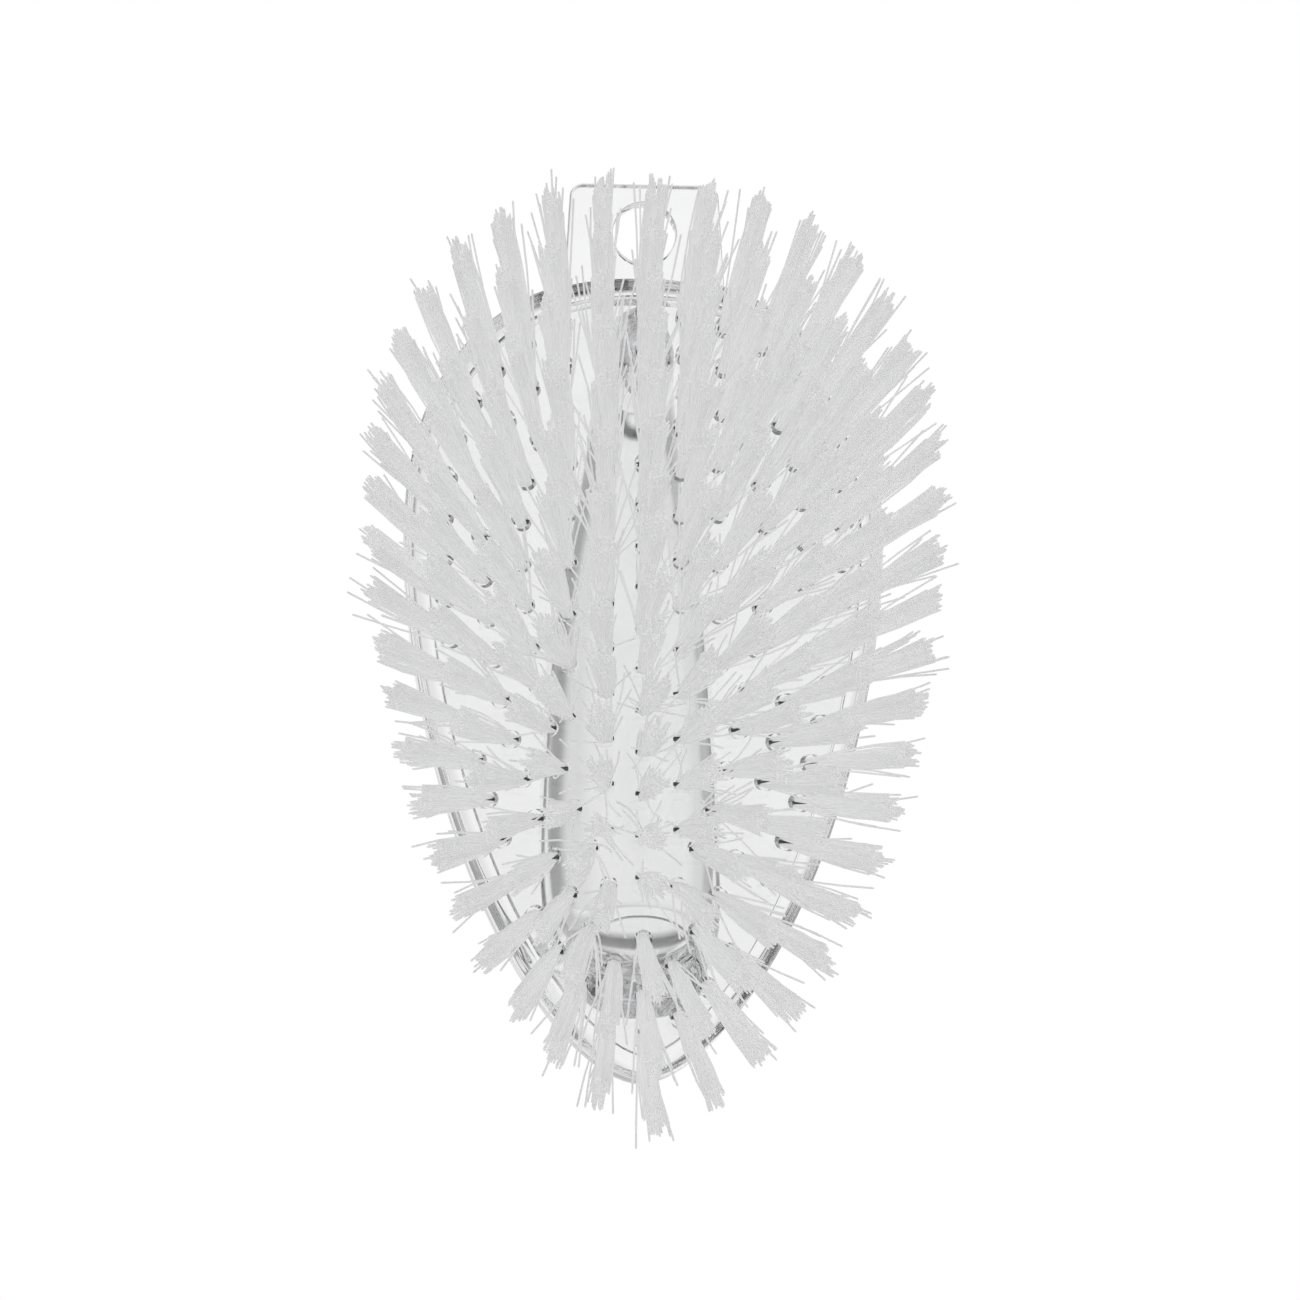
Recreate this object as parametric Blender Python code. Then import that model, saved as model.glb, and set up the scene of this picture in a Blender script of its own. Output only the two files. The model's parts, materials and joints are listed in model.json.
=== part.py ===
"""Hand scrub brush, standing on its bristle tips with the handle up and the hanging tab towards +Y.

A clear egg-shaped back carries a bridge handle in two sockets and a bristle plate in a recess.
Under the plate lie slices of the bristle face, each fused to its own tufts: three rings that
follow the outline of the back, and five straight columns inside them. The tufts fan outwards.
"""

import math

import bmesh
import bpy
from mathutils import Vector
from mathutils.geometry import delaunay_2d_cdt

MM = 0.001

# Clearances shared by all pieces
SEAT_GAP = 0.3 * MM
SLICE_GAP = 0.4 * MM
CUT_OVERRUN = 2.0 * MM

# Outline of the back, seen from above: two superellipses that meet at its widest line
HALF_WIDTH = 36.0 * MM
REAR_LENGTH = 41.4 * MM
FRONT_LENGTH = 80.6 * MM
WIDEST_LINE_Y = 20.0 * MM
REAR_FULLNESS = 2.3
FRONT_FULLNESS = 1.7

# Back
BACK_THICKNESS = 12.0 * MM
RIM_WIDTH = 3.3 * MM
RIM_STEP = 0.8 * MM
RIM_ROUND = 0.8 * MM
SHOULDER_WIDTH = 7.0 * MM
SHOULDER_HEIGHT = 4.5 * MM
SHOULDER_FULLNESS = 2.2
OUTLINE_COUNT = 72
SHOULDER_STEPS = 6
RIM_STEPS = 3

# Hanging tab
TAB_REACH = 14.3 * MM
TAB_END_WIDTH = 22.7 * MM
TAB_ROOT_WIDTH = 24.8 * MM
TAB_THICKNESS = 3.5 * MM
TAB_CORNER_RADIUS = 2.0 * MM
TAB_ROOT_DEPTH = 6.0 * MM
TAB_HOLE_DIAMETER = 9.6 * MM
TAB_HOLE_TO_END = 7.7 * MM
CORNER_STEPS = 4
HOLE_COUNT = 32

# Bristle plate, held in the recess of the back
PLATE_THICKNESS = 4.2 * MM

# Bristles
BRISTLE_LENGTH = 28.0 * MM
SLICE_THICKNESS = 1.2 * MM
SLICE_EDGE_STEP = 3.4 * MM
STRANDS_PER_TUFT = 3
STRAND_SIDES = 3
STRAND_RADIUS = 0.62 * MM
ROOT_SPREAD = 0.75 * MM
TIP_SPREAD = 1.25 * MM

# Rings of tufts, each at its distance inside the outline
OUTER_RING_INSET = 5.6 * MM
RING_PITCH = 5.9 * MM
RING_TUFT_PITCH = 6.3 * MM
INNER_RING_TUFT_PITCH = 6.4 * MM
INNER_RING_BAND = 1.5 * MM
RING_NAMES = ("outer_ring", "middle_ring", "inner_ring")
RING_SECTORS = (10, 8, 6)

# Straight columns of tufts inside the rings
COLUMN_PITCH = 5.7 * MM
COLUMN_TUFT_PITCHES = (6.4 * MM, 6.8 * MM, 7.6 * MM)
COLUMN_ROOM = 5.3 * MM
SIDE_COLUMN_FRONT_ROOM = 3.35 * MM

# Fan of the tufts: tangent of the lean at the edge of the back, which falls to none at its middle
SIDE_LEAN = 0.515
SIDE_LEAN_FALL = 0.2
REAR_LEAN = 0.45
RING_FRONT_LEAN = 0.60
COLUMN_FRONT_LEAN = 0.40

# Bridge handle: an arch from a broad round front foot to a narrow rear foot
FRONT_FOOT_Y = -42.0 * MM
REAR_FOOT_Y = 50.5 * MM
ARCH_RISE = 29.6 * MM
ARCH_FULLNESS = 2.7
GRIP_WIDTH = 27.5 * MM
GRIP_MIDDLE_WIDTH = 26.5 * MM
GRIP_THICKNESS = 12.0 * MM
FRONT_FOOT_WIDTH = 20.5 * MM
FRONT_FOOT_LENGTH = 17.0 * MM
REAR_FOOT_WIDTH = 10.5 * MM
REAR_FOOT_LENGTH = 16.5 * MM
REAR_BEND_WIDTH = 15.5 * MM
SECTION_FULLNESS = 2.3
SPIGOT_DEPTH = 3.0 * MM
SPIGOT_SHOULDER = 2.4 * MM
SECTION_COUNT = 24
ARCH_STATIONS = 26

# Colours: one clear plastic and one pale translucent filament
CLEAR_PLASTIC = (0.90, 0.91, 0.92, 1.0)
PALE_FILAMENT = (0.80, 0.80, 0.81, 1.0)

# Heights, from the bristle tips upwards
FACE_Z = BRISTLE_LENGTH
RIM_Z = FACE_Z - RIM_STEP
PLATE_Z = FACE_Z + SLICE_THICKNESS + SEAT_GAP
RECESS_Z = PLATE_Z + PLATE_THICKNESS + SEAT_GAP
TOP_Z = RIM_Z + BACK_THICKNESS

# Where the rings, the slices and the columns lie inside the outline
RING_INSETS = [OUTER_RING_INSET + RING_PITCH * ring for ring in range(len(RING_NAMES))]
PLATE_INSET = RIM_WIDTH + SEAT_GAP
COLUMNS_INSET = RING_INSETS[-1] + INNER_RING_BAND + SLICE_GAP
COLUMN_TUFTS_INSET = RING_INSETS[-1] + COLUMN_ROOM
SIDE_COLUMN_FRONT_INSET = RING_INSETS[-1] + SIDE_COLUMN_FRONT_ROOM


def power(base, exponent):
    return abs(base) ** exponent


def outline_point(turn):
    """Point and outward normal of the outline on its +X side, from the front end (0) to the rear end (pi)."""
    across, along = math.sin(turn), -math.cos(turn)
    if along > 0:
        fullness, length = REAR_FULLNESS, REAR_LENGTH
    else:
        fullness, length = FRONT_FULLNESS, FRONT_LENGTH
    x = HALF_WIDTH * power(across, 2 / fullness)
    y = math.copysign(length * power(along, 2 / fullness), along)
    normal_x = power(x / HALF_WIDTH, fullness - 1) / HALF_WIDTH
    normal_y = math.copysign(power(y / length, fullness - 1) / length, along)
    return Vector((x, WIDEST_LINE_Y + y)), Vector((normal_x, normal_y)).normalized()


def inset_point(inset, turn):
    """Point at a distance inside the outline, at a counterclockwise turn; it never passes the middle line."""
    turn %= 2 * math.pi
    mirrored = turn > math.pi
    point, normal = outline_point(2 * math.pi - turn if mirrored else turn)
    inner = point - normal * inset
    if inner.x <= 0:
        inner = Vector((0, front_end_y(inset) if point.y < WIDEST_LINE_Y else inner.y))
    return Vector((-inner.x, inner.y)) if mirrored else inner


FRONT_ENDS = {}


def front_end_y(inset):
    """Y of the front end of an inset outline: where its two sides meet on the middle line."""
    if inset not in FRONT_ENDS:
        low, high = 0.0, math.pi / 2
        for _ in range(50):
            middle = (low + high) / 2
            point, normal = outline_point(middle)
            if point.x - normal.x * inset < 0:
                low = middle
            else:
                high = middle
        point, normal = outline_point(high)
        FRONT_ENDS[inset] = point.y - normal.y * inset
    return FRONT_ENDS[inset]


class Track:
    """A closed inset outline that can be walked by length, from its front end counterclockwise."""

    SAMPLES = 1440

    def __init__(self, inset):
        self.inset = inset
        self.turns = [2 * math.pi * sample / self.SAMPLES for sample in range(self.SAMPLES + 1)]
        self.lengths = [0.0]
        last = inset_point(inset, self.turns[0])
        for turn in self.turns[1:]:
            point = inset_point(inset, turn)
            self.lengths.append(self.lengths[-1] + (point - last).length)
            last = point
        self.length = self.lengths[-1]

    def turn_at(self, walked):
        """The turn at a walked length, which may start before the front end."""
        laps, rest = divmod(walked, self.length)
        low, high = 0, self.SAMPLES
        while high - low > 1:
            middle = (low + high) // 2
            if self.lengths[middle] <= rest:
                low = middle
            else:
                high = middle
        run = self.lengths[high] - self.lengths[low]
        part = (rest - self.lengths[low]) / run if run else 0.0
        return self.turns[low] + (self.turns[high] - self.turns[low]) * part + laps * 2 * math.pi

    def point_at(self, walked):
        return inset_point(self.inset, self.turn_at(walked))

    def points(self, count):
        return [self.point_at(self.length * step / count) for step in range(count)]


def neighbour_pairs(points):
    """Index pairs of neighbouring points round a loop."""
    return [(step, (step + 1) % len(points)) for step in range(len(points))]


def loft(rings):
    """Vertices and faces of a body through rings of equally many points, closed by a face at each end."""
    count = len(rings[0])
    vertices = [tuple(point) for ring in rings for point in ring]
    faces = [tuple(reversed(range(count)))]
    for low in range(0, count * (len(rings) - 1), count):
        high = low + count
        faces += [(low + a, low + b, high + b, high + a) for a, b in neighbour_pairs(rings[0])]
    faces.append(tuple(range(len(vertices) - count, len(vertices))))
    return vertices, faces


def lifted(points, z):
    return [(point.x, point.y, z) for point in points]


def make_material(name, colour, roughness, transmission):
    material = bpy.data.materials.new(name)
    material.use_nodes = True
    shader = material.node_tree.nodes["Principled BSDF"]
    shader.inputs["Base Color"].default_value = colour
    shader.inputs["Roughness"].default_value = roughness
    shader.inputs["Metallic"].default_value = 0.0
    shader.inputs["Transmission Weight"].default_value = transmission
    return material


def make_object(name, vertices, faces, parent, colour=None, roughness=0.1, transmission=0.0):
    """One object of a closed mesh; a piece without a colour is a cutter and isn't part of the brush."""
    mesh = bpy.data.meshes.new(name)
    mesh.from_pydata(vertices, [], faces)
    shape = bmesh.new()
    shape.from_mesh(mesh)
    bmesh.ops.recalc_face_normals(shape, faces=shape.faces)
    shape.to_mesh(mesh)
    shape.free()
    mesh.shade_smooth()
    mesh.set_sharp_from_angle(angle=math.radians(35))
    piece = bpy.data.objects.new(name, mesh)
    bpy.context.collection.objects.link(piece)
    piece.parent = parent
    if colour:
        mesh.materials.append(make_material(name, colour, roughness, transmission))
    else:
        piece.hide_render = True
        piece.display_type = "WIRE"
    return piece


def make_clear(name, vertices, faces, parent):
    return make_object(name, vertices, faces, parent, CLEAR_PLASTIC, roughness=0.08, transmission=0.9)


def add_boolean(piece, other, operation):
    change = piece.modifiers.new(other.name, "BOOLEAN")
    change.operation = operation
    change.object = other
    change.solver = "EXACT"


def quarter_arc(width, height, steps, fullness=2.0):
    """Pairs (inwards, upwards) along a quarter superellipse that starts upright and ends level."""
    arc = []
    for step in range(steps + 1):
        turn = math.pi / 2 * step / steps
        inwards = width * (1 - power(math.cos(turn), 2 / fullness))
        arc.append((inwards, height * power(math.sin(turn), 2 / fullness)))
    return arc


def back_profile():
    """(inset, z) from the rim's lower face up the wall and over the shoulder to the flat top."""
    rim = quarter_arc(RIM_ROUND, RIM_ROUND, RIM_STEPS)
    profile = [(inwards, RIM_Z + RIM_ROUND - upwards) for inwards, upwards in reversed(rim)]
    shoulder = quarter_arc(SHOULDER_WIDTH, SHOULDER_HEIGHT, SHOULDER_STEPS, SHOULDER_FULLNESS)
    profile += [(inwards, TOP_Z - SHOULDER_HEIGHT + upwards) for inwards, upwards in shoulder]
    return profile


def tab_outline():
    """Corners of the tab, counterclockwise from the side of its root inside the back."""
    rear_y = WIDEST_LINE_Y + REAR_LENGTH
    end_y = rear_y + TAB_REACH
    root_y = rear_y - TAB_ROOT_DEPTH
    centre_y = end_y - TAB_CORNER_RADIUS
    centre_x = TAB_END_WIDTH / 2 - TAB_CORNER_RADIUS
    points = [Vector((TAB_ROOT_WIDTH / 2, root_y))]
    for side in (1, -1):
        for step in range(CORNER_STEPS + 1):
            share = step / CORNER_STEPS if side > 0 else 1 - step / CORNER_STEPS
            turn = math.pi / 2 * share
            x = centre_x + TAB_CORNER_RADIUS * math.cos(turn)
            points.append(Vector((side * x, centre_y + TAB_CORNER_RADIUS * math.sin(turn))))
    points.append(Vector((-TAB_ROOT_WIDTH / 2, root_y)))
    return points


def tab_hole_outline():
    centre_y = WIDEST_LINE_Y + REAR_LENGTH + TAB_REACH - TAB_HOLE_TO_END
    points = []
    for step in range(HOLE_COUNT):
        turn = 2 * math.pi * step / HOLE_COUNT
        radius = TAB_HOLE_DIAMETER / 2
        points.append(Vector((radius * math.cos(turn), centre_y + radius * math.sin(turn))))
    return points


def make_back(parent):
    """The clear back with its rim, recess, hanging tab and the two sockets for the handle's feet."""
    rings = [lifted(Track(inset).points(OUTLINE_COUNT), z) for inset, z in back_profile()]
    back = make_clear("back_shell", *loft(rings), parent)

    tab_top = RIM_Z + TAB_THICKNESS
    outline = tab_outline()
    tab = make_object("tab_solid", *loft([lifted(outline, RIM_Z), lifted(outline, tab_top)]), parent)
    add_boolean(back, tab, "UNION")

    hole = tab_hole_outline()
    rings = [lifted(hole, RIM_Z - CUT_OVERRUN), lifted(hole, tab_top + CUT_OVERRUN)]
    cutter = make_object("tab_hole_cutter", *loft(rings), parent)
    add_boolean(back, cutter, "DIFFERENCE")

    recess = Track(RIM_WIDTH).points(OUTLINE_COUNT)
    rings = [lifted(recess, RIM_Z - CUT_OVERRUN), lifted(recess, RECESS_Z)]
    cutter = make_object("recess_cutter", *loft(rings), parent)
    add_boolean(back, cutter, "DIFFERENCE")

    socket_shoulder = SPIGOT_SHOULDER - SEAT_GAP
    for name, foot_y, half_width, half_length in feet():
        section = level_section(foot_y, half_width - socket_shoulder, half_length - socket_shoulder)
        floor_z = TOP_Z - SPIGOT_DEPTH - SEAT_GAP
        rings = [lifted(section, floor_z), lifted(section, TOP_Z + CUT_OVERRUN)]
        cutter = make_object(f"{name}_socket_cutter", *loft(rings), parent)
        add_boolean(back, cutter, "DIFFERENCE")
    return back


def feet():
    """Name, place and half sizes of the handle's two feet."""
    front = ("front_foot", FRONT_FOOT_Y, FRONT_FOOT_WIDTH / 2, FRONT_FOOT_LENGTH / 2)
    rear = ("rear_foot", REAR_FOOT_Y, REAR_FOOT_WIDTH / 2, REAR_FOOT_LENGTH / 2)
    return front, rear


def section_shares():
    """Unit outline of the handle's section, as shares of its half width and half thickness."""
    shares = []
    for step in range(SECTION_COUNT):
        turn = 2 * math.pi * step / SECTION_COUNT
        across = math.copysign(power(math.cos(turn), 2 / SECTION_FULLNESS), math.cos(turn))
        through = math.copysign(power(math.sin(turn), 2 / SECTION_FULLNESS), math.sin(turn))
        shares.append((across, through))
    return shares


def level_section(centre_y, half_width, half_length):
    shares = section_shares()
    return [Vector((half_width * across, centre_y + half_length * through)) for across, through in shares]


def blended(values, share):
    """A smooth value through equally spaced ones, for a share from 0 to 1."""
    place = share * (len(values) - 1)
    index = min(int(place), len(values) - 2)
    part = place - index
    before, start = values[max(index - 1, 0)], values[index]
    end, after = values[index + 1], values[min(index + 2, len(values) - 1)]
    rise = (end - start) * part * part * (3 - 2 * part)
    leaving = (end - before) / 2 * part * (1 - part) ** 2
    arriving = (after - start) / 2 * part * part * (1 - part)
    return start + rise + leaving - arriving


def arch_sections():
    """Rings along the arch, from the front foot to the rear foot."""
    widths = [FRONT_FOOT_WIDTH, GRIP_WIDTH, GRIP_MIDDLE_WIDTH, REAR_BEND_WIDTH, REAR_FOOT_WIDTH]
    depths = [FRONT_FOOT_LENGTH, GRIP_THICKNESS, GRIP_THICKNESS, GRIP_THICKNESS, REAR_FOOT_LENGTH]
    middle_y = (FRONT_FOOT_Y + REAR_FOOT_Y) / 2
    half_span = (REAR_FOOT_Y - FRONT_FOOT_Y) / 2
    base_z = TOP_Z + SEAT_GAP
    rings = []
    for station in range(ARCH_STATIONS + 1):
        share = station / ARCH_STATIONS
        turn = math.pi * share
        along, up = -math.cos(turn), math.sin(turn)
        y = middle_y + math.copysign(half_span * power(along, 2 / ARCH_FULLNESS), along)
        z = base_z + ARCH_RISE * power(up, 2 / ARCH_FULLNESS)
        slope_y = power(up, 2 - 2 / ARCH_FULLNESS) / ARCH_RISE
        slope_z = -math.copysign(power(along, 2 - 2 / ARCH_FULLNESS) / half_span, along)
        tangent = Vector((0, slope_y, slope_z)).normalized()
        inwards = Vector((0, tangent.z, -tangent.y))
        half_width, half_depth = blended(widths, share) / 2, blended(depths, share) / 2
        centre = Vector((0, y, z))
        rings.append([centre + Vector((half_width * across, 0, 0)) + inwards * half_depth * through
                      for across, through in section_shares()])
    return rings


def make_handle(parent):
    """The bridge handle: an arch whose feet stand on the back, each with a spigot in its socket."""
    rings = arch_sections()
    spigot_z = (TOP_Z - SPIGOT_DEPTH, TOP_Z + SEAT_GAP)
    ends = []
    for _, foot_y, half_width, half_length in feet():
        section = level_section(foot_y, half_width - SPIGOT_SHOULDER, half_length - SPIGOT_SHOULDER)
        ends.append([lifted(section, z) for z in spigot_z])
    mirrored = [[ring[-step % SECTION_COUNT] for step in range(SECTION_COUNT)] for ring in reversed(ends[1])]
    return make_clear("handle", *loft(ends[0] + rings + mirrored), parent)


def make_plate(parent):
    """The bristle plate, held in the recess under the ceiling of the back."""
    outline = Track(PLATE_INSET).points(OUTLINE_COUNT)
    rings = [lifted(outline, PLATE_Z), lifted(outline, PLATE_Z + PLATE_THICKNESS)]
    return make_clear("bristle_plate", *loft(rings), parent)


def lean_at(point, front_lean):
    """Tangents of a tuft's lean across and along the brush; the one across falls towards the rear end."""
    side_lean = SIDE_LEAN - SIDE_LEAN_FALL * point.y / (WIDEST_LINE_Y + REAR_LENGTH)
    across = side_lean * point.x / HALF_WIDTH
    if point.y > 0:
        along = REAR_LEAN * point.y / (WIDEST_LINE_Y + REAR_LENGTH)
    else:
        along = front_lean * point.y / (FRONT_LENGTH - WIDEST_LINE_Y)
    return Vector((across, along))


def strands_of(point, lean, number):
    """The strands of one tuft, each as its root triangle on the face and its tip triangle at the ground."""
    strands = []
    for strand in range(STRANDS_PER_TUFT):
        turn = 2 * math.pi * (strand / STRANDS_PER_TUFT + number / (STRANDS_PER_TUFT * STRAND_SIDES))
        away = Vector((math.cos(turn), math.sin(turn)))
        root = point + away * ROOT_SPREAD
        tip = point + lean * BRISTLE_LENGTH + away * TIP_SPREAD
        corners = []
        for side in range(STRAND_SIDES):
            corner_turn = turn + 2 * math.pi * side / STRAND_SIDES
            corners.append(Vector((math.cos(corner_turn), math.sin(corner_turn))) * STRAND_RADIUS)
        strands.append(([root + corner for corner in corners], [tip + corner for corner in corners]))
    return strands


def make_tufts(name, outline, tufts, front_lean, parent):
    """A slice of the bristle face with the strands of its tufts, as one closed body."""
    strands = []
    for number, point in enumerate(tufts):
        strands += strands_of(point, lean_at(point, front_lean), number)

    edge_count = len(outline)
    flat = list(outline)
    loops = [list(range(edge_count))]
    for roots, _ in strands:
        loops.append(list(range(len(flat), len(flat) + STRAND_SIDES)))
        flat += roots
    found = delaunay_2d_cdt([point.copy() for point in flat], [], loops, 1, 1e-9)
    points, triangles, sources = found[0], found[2], found[3]
    if len(points) != len(flat):
        raise ValueError(f"{name}: the tufts don't fit on their slice")
    index_of = [source[0] for source in sources]
    strand_faces = {frozenset(loop) for loop in loops[1:]}

    vertices = lifted(flat, FACE_Z)
    faces = []
    for triangle in triangles:
        corners = [index_of[corner] for corner in triangle]
        if frozenset(corners) not in strand_faces:
            faces.append(tuple(reversed(corners)))

    upper = len(vertices)
    vertices += lifted(outline, FACE_Z + SLICE_THICKNESS)
    faces.append(tuple(range(upper, upper + edge_count)))
    faces += [(a, b, upper + b, upper + a) for a, b in neighbour_pairs(outline)]

    for (_, tips), loop in zip(strands, loops[1:]):
        start = len(vertices)
        vertices += lifted(tips, 0.0)
        faces += [(start + a, start + b, loop[b], loop[a]) for a, b in neighbour_pairs(tips)]
        faces.append(tuple(reversed(range(start, start + STRAND_SIDES))))
    piece = make_object(name, vertices, faces, parent, PALE_FILAMENT, roughness=0.35, transmission=0.2)
    piece.data.shade_flat()
    return piece


def band_outline(outer_inset, inner_inset, start_turn, end_turn, steps):
    """Outline of a slice between two inset outlines and two turns, without repeated points."""
    turns = [start_turn + (end_turn - start_turn) * step / steps for step in range(steps + 1)]
    points = [inset_point(outer_inset, turn) for turn in turns]
    points += [inset_point(inner_inset, turn) for turn in reversed(turns)]
    kept = []
    for point in points:
        if not kept or (point - kept[-1]).length > SLICE_GAP / 2:
            kept.append(point)
    return kept


def inner_ring_tufts(track, pitch, start, end):
    """Tufts from half a pitch on; the two beside the front end are one, on the middle line."""
    places = [pitch * (tuft + 0.5) for tuft in range(start, end) if tuft not in (-1, 0)]
    if start <= 0 < end:
        places.append(0.0)
    return [track.point_at(place) for place in places]


def make_ring(name, ring, sectors, parent):
    """One ring of tufts, parted into slices along its length."""
    inset = RING_INSETS[ring]
    innermost = ring == len(RING_INSETS) - 1
    outer = PLATE_INSET if ring == 0 else inset - RING_PITCH / 2 + SLICE_GAP / 2
    inner = inset + (INNER_RING_BAND if innermost else RING_PITCH / 2 - SLICE_GAP / 2)
    track = Track(inset)
    tuft_count = round(track.length / (INNER_RING_TUFT_PITCH if innermost else RING_TUFT_PITCH))
    pitch = track.length / tuft_count
    first_tuft = -(tuft_count // sectors // 2)
    first_edge = 0.0 if innermost else -pitch / 2
    pieces = []
    for sector in range(sectors):
        start = first_tuft + tuft_count * sector // sectors
        end = first_tuft + tuft_count * (sector + 1) // sectors
        if innermost:
            tufts = inner_ring_tufts(track, pitch, start, end)
        else:
            tufts = [track.point_at(pitch * tuft) for tuft in range(start, end)]
        start_turn = track.turn_at(first_edge + pitch * start + SLICE_GAP / 2)
        end_turn = track.turn_at(first_edge + pitch * end - SLICE_GAP / 2)
        steps = max(2, round(pitch * (end - start) / SLICE_EDGE_STEP))
        outline = band_outline(outer, inner, start_turn, end_turn, steps)
        pieces.append(make_tufts(f"{name}_tufts_{sector + 1:02d}", outline, tufts, RING_FRONT_LEAN, parent))
    return pieces


def clipped(points, limit, side):
    """The part of a convex outline on one side of a line along Y."""
    kept = []
    for a, b in neighbour_pairs(points):
        start, end = points[a], points[b]
        start_in, end_in = side * (start.x - limit) >= 0, side * (end.x - limit) >= 0
        if start_in:
            kept.append(start)
        if start_in != end_in:
            kept.append(start.lerp(end, (limit - start.x) / (end.x - start.x)))
    return kept


def span_at(points, x):
    """Lowest and highest Y where a line along Y crosses a convex outline."""
    crossings = []
    for a, b in neighbour_pairs(points):
        start, end = points[a], points[b]
        if (start.x - x) * (end.x - x) <= 0 and start.x != end.x:
            crossings.append(start.lerp(end, (x - start.x) / (end.x - start.x)).y)
    return min(crossings), max(crossings)


def make_columns(parent):
    """The straight columns of tufts inside the rings."""
    face = Track(COLUMNS_INSET)
    edge = face.points(round(face.length / SLICE_EDGE_STEP))
    room = Track(COLUMN_TUFTS_INSET).points(OUTLINE_COUNT * 4)
    front_room = Track(SIDE_COLUMN_FRONT_INSET).points(OUTLINE_COUNT * 4)
    last = int(max(point.x for point in room) / COLUMN_PITCH)
    pieces = []
    for number in range(-last, last + 1):
        x = COLUMN_PITCH * number
        pitch = COLUMN_TUFT_PITCHES[min(abs(number), len(COLUMN_TUFT_PITCHES) - 1)]
        front_y, rear_y = span_at(room, x)
        if number:
            front_y = span_at(front_room, x)[0]
        gaps = max(1, round((rear_y - front_y) / pitch))
        tufts = [Vector((x, front_y + (rear_y - front_y) * tuft / gaps)) for tuft in range(gaps + 1)]
        outline = edge
        if number > -last:
            outline = clipped(outline, x - COLUMN_PITCH / 2 + SLICE_GAP / 2, 1)
        if number < last:
            outline = clipped(outline, x + COLUMN_PITCH / 2 - SLICE_GAP / 2, -1)
        pieces.append(make_tufts(f"{column_name(number)}_tufts", outline, tufts, COLUMN_FRONT_LEAN, parent))
    return pieces


def column_name(number):
    """The centre column, or the first, second and so on to its right (+X) or left."""
    if number == 0:
        return "centre_column"
    return f"{'right' if number > 0 else 'left'}_column_{abs(number)}"


def centre_along_length(frame, pieces):
    """Moves the frame so that the brush's reach along Y is the same both ways."""
    bpy.context.view_layer.update()
    depsgraph = bpy.context.evaluated_depsgraph_get()
    reach = []
    for piece in pieces:
        mesh = piece.evaluated_get(depsgraph).to_mesh()
        reach += [vertex.co.y for vertex in mesh.vertices]
        piece.evaluated_get(depsgraph).to_mesh_clear()
    frame.location.y = -(min(reach) + max(reach)) / 2


def main():
    for item in list(bpy.data.objects):
        bpy.data.objects.remove(item)
    frame = bpy.data.objects.new("brush_frame", None)
    bpy.context.collection.objects.link(frame)
    pieces = [make_back(frame), make_handle(frame), make_plate(frame)]
    for ring, (name, sectors) in enumerate(zip(RING_NAMES, RING_SECTORS)):
        pieces += make_ring(name, ring, sectors, frame)
    pieces += make_columns(frame)
    centre_along_length(frame, pieces)


main()
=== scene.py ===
"""The looks of a clear hand scrub brush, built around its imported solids.

The brush stands on its bristle tips. The camera looks up at the bristles from below, so the
floor shows only from above.
"""

import json
import math

import bmesh
import bpy
from mathutils import Matrix, Vector
from mathutils.geometry import delaunay_2d_cdt

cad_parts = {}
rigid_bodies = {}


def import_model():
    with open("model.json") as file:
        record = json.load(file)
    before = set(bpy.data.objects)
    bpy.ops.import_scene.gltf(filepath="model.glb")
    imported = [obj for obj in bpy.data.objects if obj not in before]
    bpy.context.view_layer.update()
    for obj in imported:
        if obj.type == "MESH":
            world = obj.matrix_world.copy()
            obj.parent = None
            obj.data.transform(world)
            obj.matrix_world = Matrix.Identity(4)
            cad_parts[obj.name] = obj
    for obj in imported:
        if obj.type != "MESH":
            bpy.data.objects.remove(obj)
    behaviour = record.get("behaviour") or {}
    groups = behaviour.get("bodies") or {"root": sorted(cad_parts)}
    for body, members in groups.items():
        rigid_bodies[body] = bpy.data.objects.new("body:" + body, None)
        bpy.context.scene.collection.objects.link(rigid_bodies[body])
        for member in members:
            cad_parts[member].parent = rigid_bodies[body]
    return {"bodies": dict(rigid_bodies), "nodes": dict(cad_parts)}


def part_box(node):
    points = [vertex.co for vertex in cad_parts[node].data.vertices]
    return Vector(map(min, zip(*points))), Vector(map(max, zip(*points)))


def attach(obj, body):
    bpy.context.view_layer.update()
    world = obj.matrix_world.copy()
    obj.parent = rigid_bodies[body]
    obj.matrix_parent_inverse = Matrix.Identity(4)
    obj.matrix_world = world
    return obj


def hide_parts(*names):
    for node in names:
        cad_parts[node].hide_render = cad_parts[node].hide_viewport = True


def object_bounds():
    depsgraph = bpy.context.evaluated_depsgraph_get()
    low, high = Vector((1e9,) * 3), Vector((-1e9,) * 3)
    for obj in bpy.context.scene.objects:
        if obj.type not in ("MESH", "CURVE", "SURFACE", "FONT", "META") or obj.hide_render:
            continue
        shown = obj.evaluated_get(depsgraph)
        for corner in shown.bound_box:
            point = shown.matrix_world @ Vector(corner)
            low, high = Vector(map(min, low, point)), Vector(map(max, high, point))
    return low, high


MM = 0.001

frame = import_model()
cad_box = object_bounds()
BODY = next(iter(frame["bodies"]))

# Places of the solids, read from the frame
BACK_LOW, BACK_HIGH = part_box("back_shell")
FRONT_Y = BACK_LOW[1]
TAB_END_Y = BACK_HIGH[1]
RIM_Z = BACK_LOW[2]
TOP_Z = BACK_HIGH[2]
PLATE_TOP_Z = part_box("bristle_plate")[1][2]
GROUND_Z = cad_box[0][2]

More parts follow.
